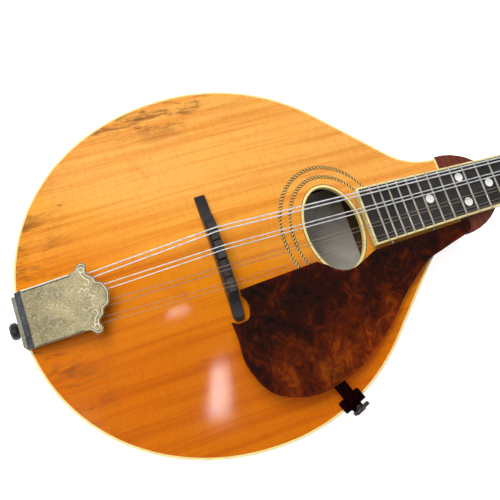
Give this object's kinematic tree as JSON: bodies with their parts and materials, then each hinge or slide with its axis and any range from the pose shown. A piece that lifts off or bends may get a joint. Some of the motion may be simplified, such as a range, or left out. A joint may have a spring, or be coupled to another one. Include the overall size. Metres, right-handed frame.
{
  "type": "mandolin",
  "caption": "Carved-top mandolin with a pear-shaped body, oval soundhole, raised pickguard on a rim clamp, sliding tailpiece cover and geared tuners.",
  "frame": {"origin": "middle of the instrument's length and of its symmetry plane, on the plane it lies on when it is laid on its back", "axes": "+X runs along the strings from the tail to the head, +Y to the bass strings' side, +Z out of the carved top"},
  "size_m": [0.6345, 0.249, 0.0894],
  "materials": {
    "spruce": "aged amber varnish, semi-gloss",
    "stained_maple": "dark red-brown varnish, semi-gloss",
    "bare_spruce": "bare, sanded",
    "mahogany": "dark red stain under varnish",
    "binding": "aged cream celluloid",
    "rope_inlay": "dyed wood inlay under varnish",
    "aged_paper": "matt aged paper",
    "ebony": "oiled, satin",
    "fret_metal": "worn nickel silver",
    "pearl": "mother of pearl",
    "bone": "bone, satin",
    "nickel": "tarnished nickel plate",
    "tortoise": "mottled celluloid, polished",
    "steel": "nickel-plated steel",
    "wound_string": "wound metal string",
    "plain_string": "plain steel string"
  },
  "bodies": {
    "instrument": {"top_plate": "spruce", "back_plate": "stained_maple", "bass_side": "stained_maple", "treble_side": "stained_maple", "linings": "bare_spruce", "neck_block": "mahogany", "tail_block": "mahogany", "cross_brace": "bare_spruce", "top_binding": "binding", "soundhole_binding": "binding", "rope_rings": "rope_inlay", "paper_label": "aged_paper", "neck": "mahogany", "board_riser": "mahogany", "fingerboard": "ebony", "board_binding": "binding", "frets": "fret_metal", "position_dots": "pearl", "nut": "bone", "head_veneer": "ebony", "bridge_base": "ebony", "bridge_saddles": "ebony", "tailpiece_base": "nickel", "end_pin": "ebony", "pickguard": "tortoise", "guard_arm": "ebony", "guard_pins": "nickel", "small_screws": "nickel", "bass_tuner_plate": "nickel", "treble_tuner_plate": "nickel", "post_bushings": "nickel", "g_strings": "wound_string", "d_strings": "wound_string", "a_strings": "plain_string", "e_strings": "plain_string"},
    "cover": {"tailpiece_cover": "nickel"},
    "clamp_jaw_body": {"clamp_jaw": "nickel"},
    "clamp_screw_body": {"clamp_screw": "nickel"},
    "key_1_body": {"key_1": "nickel"},
    "post_1_body": {"post_1": "steel"},
    "key_2_body": {"key_2": "nickel"},
    "post_2_body": {"post_2": "steel"},
    "key_3_body": {"key_3": "nickel"},
    "post_3_body": {"post_3": "steel"},
    "key_4_body": {"key_4": "nickel"},
    "post_4_body": {"post_4": "steel"},
    "key_5_body": {"key_5": "nickel"},
    "post_5_body": {"post_5": "steel"},
    "key_6_body": {"key_6": "nickel"},
    "post_6_body": {"post_6": "steel"},
    "key_7_body": {"key_7": "nickel"},
    "post_7_body": {"post_7": "steel"},
    "key_8_body": {"key_8": "nickel"},
    "post_8_body": {"post_8": "steel"}
  },
  "joints": [
    {"name": "cover_slide", "type": "slide", "parent": "instrument", "child": "cover", "axis": [-1, 0, 0], "range_m": [0, 0.06]},
    {"name": "clamp_screw_turn", "type": "hinge", "parent": "instrument", "child": "clamp_screw_body", "pos_m": [-0.11831, -0.11855, 0.06374], "axis": [0, 0, 1], "range_deg": [0, 1800]},
    {"name": "clamp_jaw_slide", "type": "slide", "parent": "instrument", "child": "clamp_jaw_body", "axis": [0, 0, -1], "range_m": [0, 0.004]},
    {"name": "key_1_turn", "type": "hinge", "parent": "instrument", "child": "key_1_body", "pos_m": [0.213, 0.0175, 0.02508], "axis": [0, 1, 0], "continuous": true},
    {"name": "post_1_turn", "type": "hinge", "parent": "instrument", "child": "post_1_body", "pos_m": [0.21042, 0.0175, 0.04399], "axis": [0.284, 0, 0.9588], "continuous": true},
    {"name": "key_2_turn", "type": "hinge", "parent": "instrument", "child": "key_2_body", "pos_m": [0.23506, 0.0175, 0.01854], "axis": [0, 1, 0], "continuous": true},
    {"name": "post_2_turn", "type": "hinge", "parent": "instrument", "child": "post_2_body", "pos_m": [0.23247, 0.0175, 0.03746], "axis": [0.284, 0, 0.9588], "continuous": true},
    {"name": "key_3_turn", "type": "hinge", "parent": "instrument", "child": "key_3_body", "pos_m": [0.25711, 0.0175, 0.01201], "axis": [0, 1, 0], "continuous": true},
    {"name": "post_3_turn", "type": "hinge", "parent": "instrument", "child": "post_3_body", "pos_m": [0.25453, 0.0175, 0.03093], "axis": [0.284, 0, 0.9588], "continuous": true},
    {"name": "key_4_turn", "type": "hinge", "parent": "instrument", "child": "key_4_body", "pos_m": [0.27916, 0.0175, 0.00548], "axis": [0, 1, 0], "continuous": true},
    {"name": "post_4_turn", "type": "hinge", "parent": "instrument", "child": "post_4_body", "pos_m": [0.27658, 0.0175, 0.02439], "axis": [0.284, 0, 0.9588], "continuous": true},
    {"name": "key_5_turn", "type": "hinge", "parent": "instrument", "child": "key_5_body", "pos_m": [0.213, -0.0175, 0.02508], "axis": [0, -1, 0], "continuous": true},
    {"name": "post_5_turn", "type": "hinge", "parent": "instrument", "child": "post_5_body", "pos_m": [0.21042, -0.0175, 0.04399], "axis": [0.284, 0, 0.9588], "continuous": true},
    {"name": "key_6_turn", "type": "hinge", "parent": "instrument", "child": "key_6_body", "pos_m": [0.23506, -0.0175, 0.01854], "axis": [0, -1, 0], "continuous": true},
    {"name": "post_6_turn", "type": "hinge", "parent": "instrument", "child": "post_6_body", "pos_m": [0.23247, -0.0175, 0.03746], "axis": [0.284, 0, 0.9588], "continuous": true},
    {"name": "key_7_turn", "type": "hinge", "parent": "instrument", "child": "key_7_body", "pos_m": [0.25711, -0.0175, 0.01201], "axis": [0, -1, 0], "continuous": true},
    {"name": "post_7_turn", "type": "hinge", "parent": "instrument", "child": "post_7_body", "pos_m": [0.25453, -0.0175, 0.03093], "axis": [0.284, 0, 0.9588], "continuous": true},
    {"name": "key_8_turn", "type": "hinge", "parent": "instrument", "child": "key_8_body", "pos_m": [0.27916, -0.0175, 0.00548], "axis": [0, -1, 0], "continuous": true},
    {"name": "post_8_turn", "type": "hinge", "parent": "instrument", "child": "post_8_body", "pos_m": [0.27658, -0.0175, 0.02439], "axis": [0.284, 0, 0.9588], "continuous": true}
  ],
  "couplings": [
    {"joint": "clamp_screw_turn", "follows": "clamp_jaw_slide", "rad_per_m": 7854},
    {"joint": "post_1_turn", "follows": "key_1_turn", "ratio": -0.071429},
    {"joint": "post_2_turn", "follows": "key_2_turn", "ratio": -0.071429},
    {"joint": "post_3_turn", "follows": "key_3_turn", "ratio": -0.071429},
    {"joint": "post_4_turn", "follows": "key_4_turn", "ratio": -0.071429},
    {"joint": "post_5_turn", "follows": "key_5_turn", "ratio": 0.071429},
    {"joint": "post_6_turn", "follows": "key_6_turn", "ratio": 0.071429},
    {"joint": "post_7_turn", "follows": "key_7_turn", "ratio": 0.071429},
    {"joint": "post_8_turn", "follows": "key_8_turn", "ratio": 0.071429}
  ]
}
